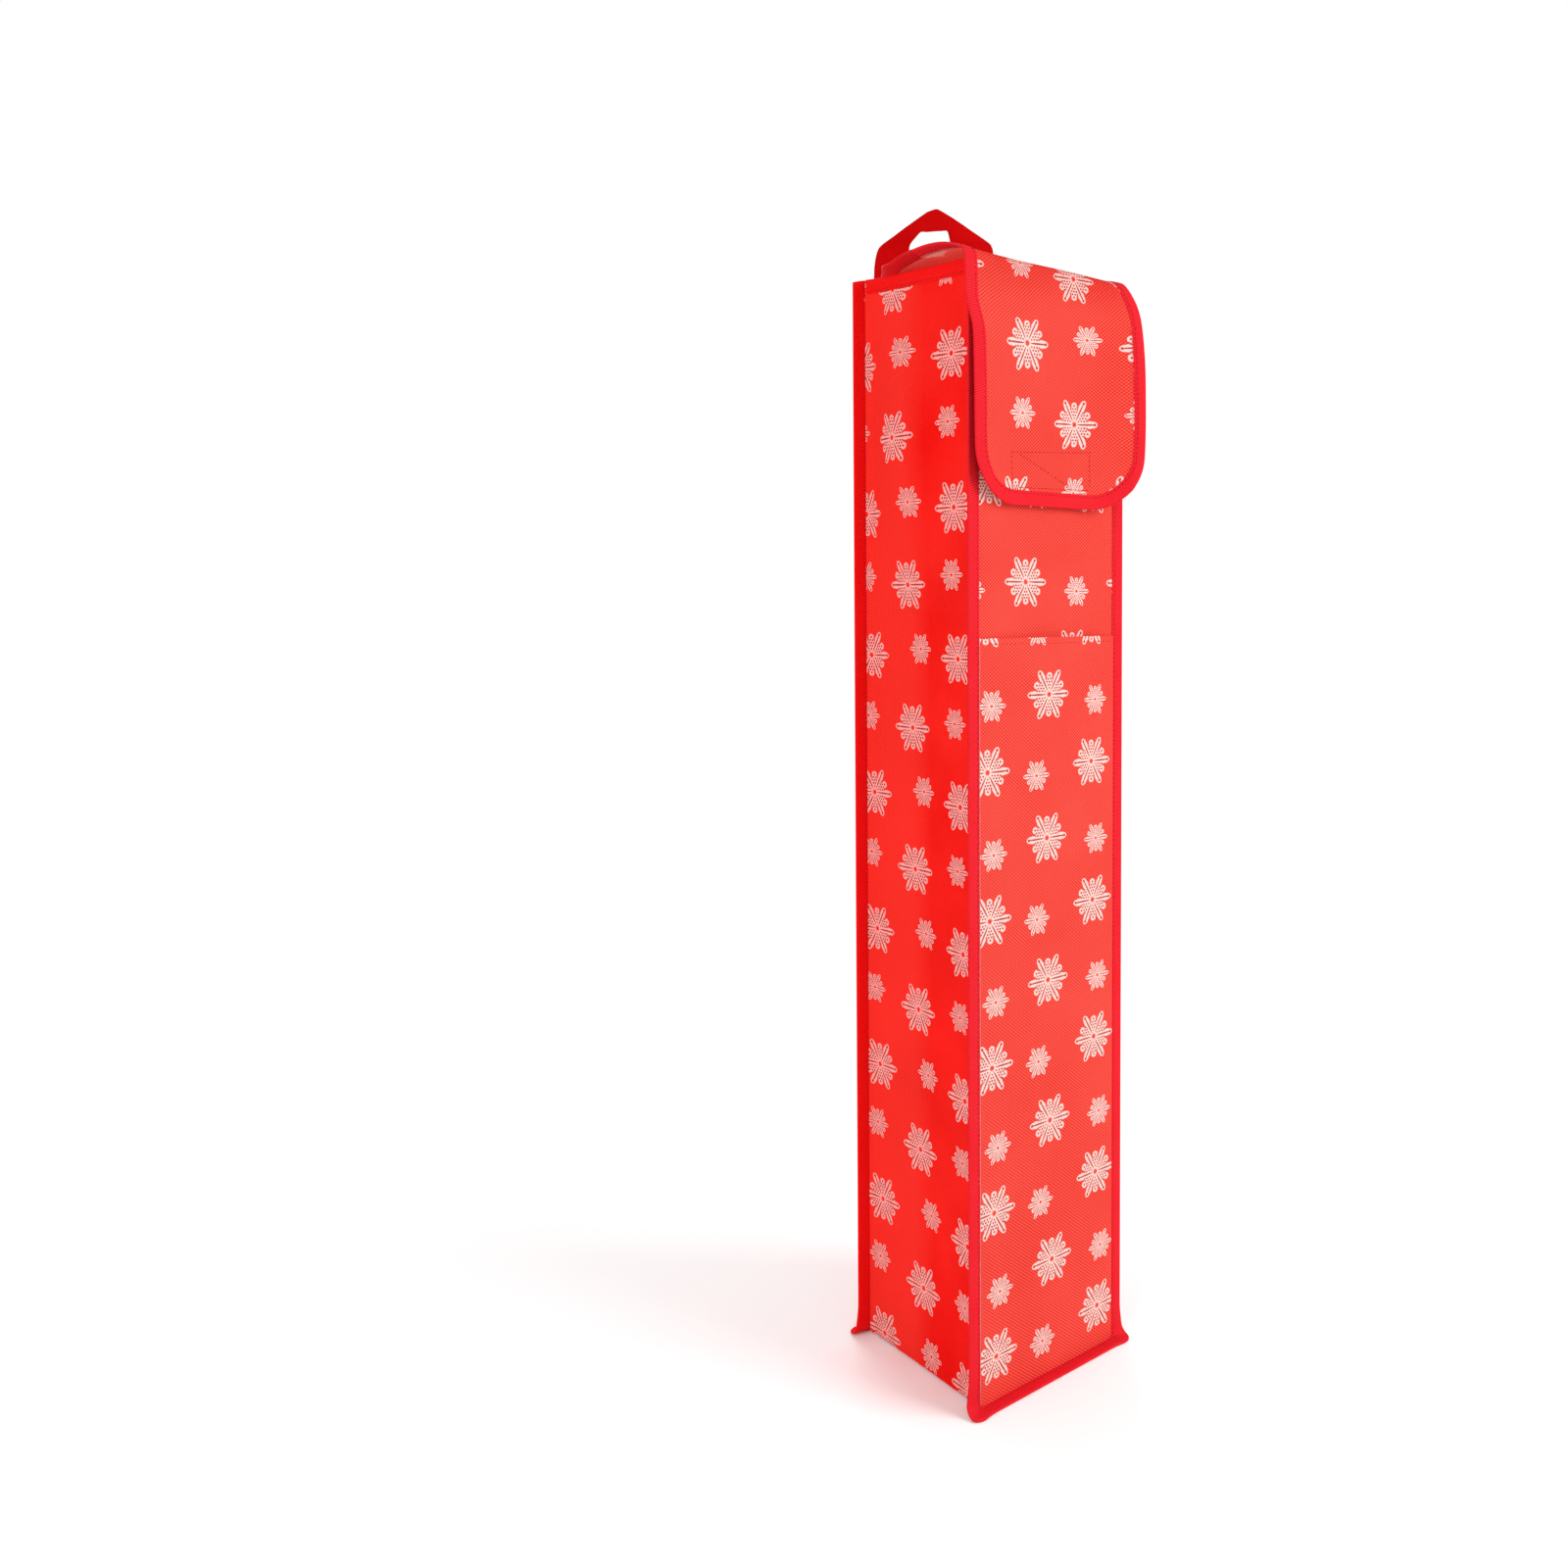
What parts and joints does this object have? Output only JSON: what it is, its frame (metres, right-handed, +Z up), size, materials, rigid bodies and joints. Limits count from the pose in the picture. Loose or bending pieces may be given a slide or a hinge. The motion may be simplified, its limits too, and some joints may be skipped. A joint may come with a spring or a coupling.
{
  "type": "gift wrap organizer",
  "caption": "Tall square fabric bag that stands on end to store rolls of wrapping paper, with a flap over its mouth, a front pocket for cards and a webbing handle.",
  "frame": {"origin": "middle of the bag's underside, on the floor it stands on", "axes": "+Z up along the bag's height, -Y out of the front with the pocket, +X to the right seen from the front"},
  "size_m": [0.1734, 0.1867, 0.9877],
  "materials": {
    "cloth": "printed non-woven, matte",
    "tape": "ribbed woven tape",
    "hook_tape": "hook fastener",
    "loop_tape": "loop fastener",
    "webbing": "woven webbing"
  },
  "bodies": {
    "bag": {"front_panel": "cloth", "back_panel": "cloth", "left_side_panel": "cloth", "right_side_panel": "cloth", "bottom_panel": "cloth", "pocket_panel": "cloth", "front_left_binding": "tape", "front_right_binding": "tape", "front_bottom_binding": "tape", "back_left_binding": "tape", "back_right_binding": "tape", "back_bottom_binding": "tape", "mouth_left_binding": "tape", "mouth_front_binding": "tape", "mouth_right_binding": "tape", "hook_strip": "hook_tape", "handle_left_end": "webbing", "handle_right_end": "webbing"},
    "flap_cover": {"flap_cover": "cloth", "flap_cover_left_binding": "tape", "flap_cover_right_binding": "tape"},
    "flap_front": {"flap_front": "cloth", "flap_front_binding": "tape", "loop_strip": "loop_tape"},
    "handle": {"handle_strap": "webbing"}
  },
  "joints": [
    {"name": "flap_cover_fold", "type": "hinge", "parent": "bag", "child": "flap_cover", "pos_m": [0, 0.07215, 0.9034], "axis": [-1, 0, 0], "range_deg": [0, 85]},
    {"name": "flap_front_fold", "type": "hinge", "parent": "flap_cover", "child": "flap_front", "pos_m": [0, -0.0754, 0.9034], "axis": [-1, 0, 0], "range_deg": [0, 90]},
    {"name": "handle_fold", "type": "hinge", "parent": "bag", "child": "handle", "pos_m": [0, 0.078, 0.9075], "axis": [-1, 0, 0], "range_deg": [0, 172]}
  ]
}
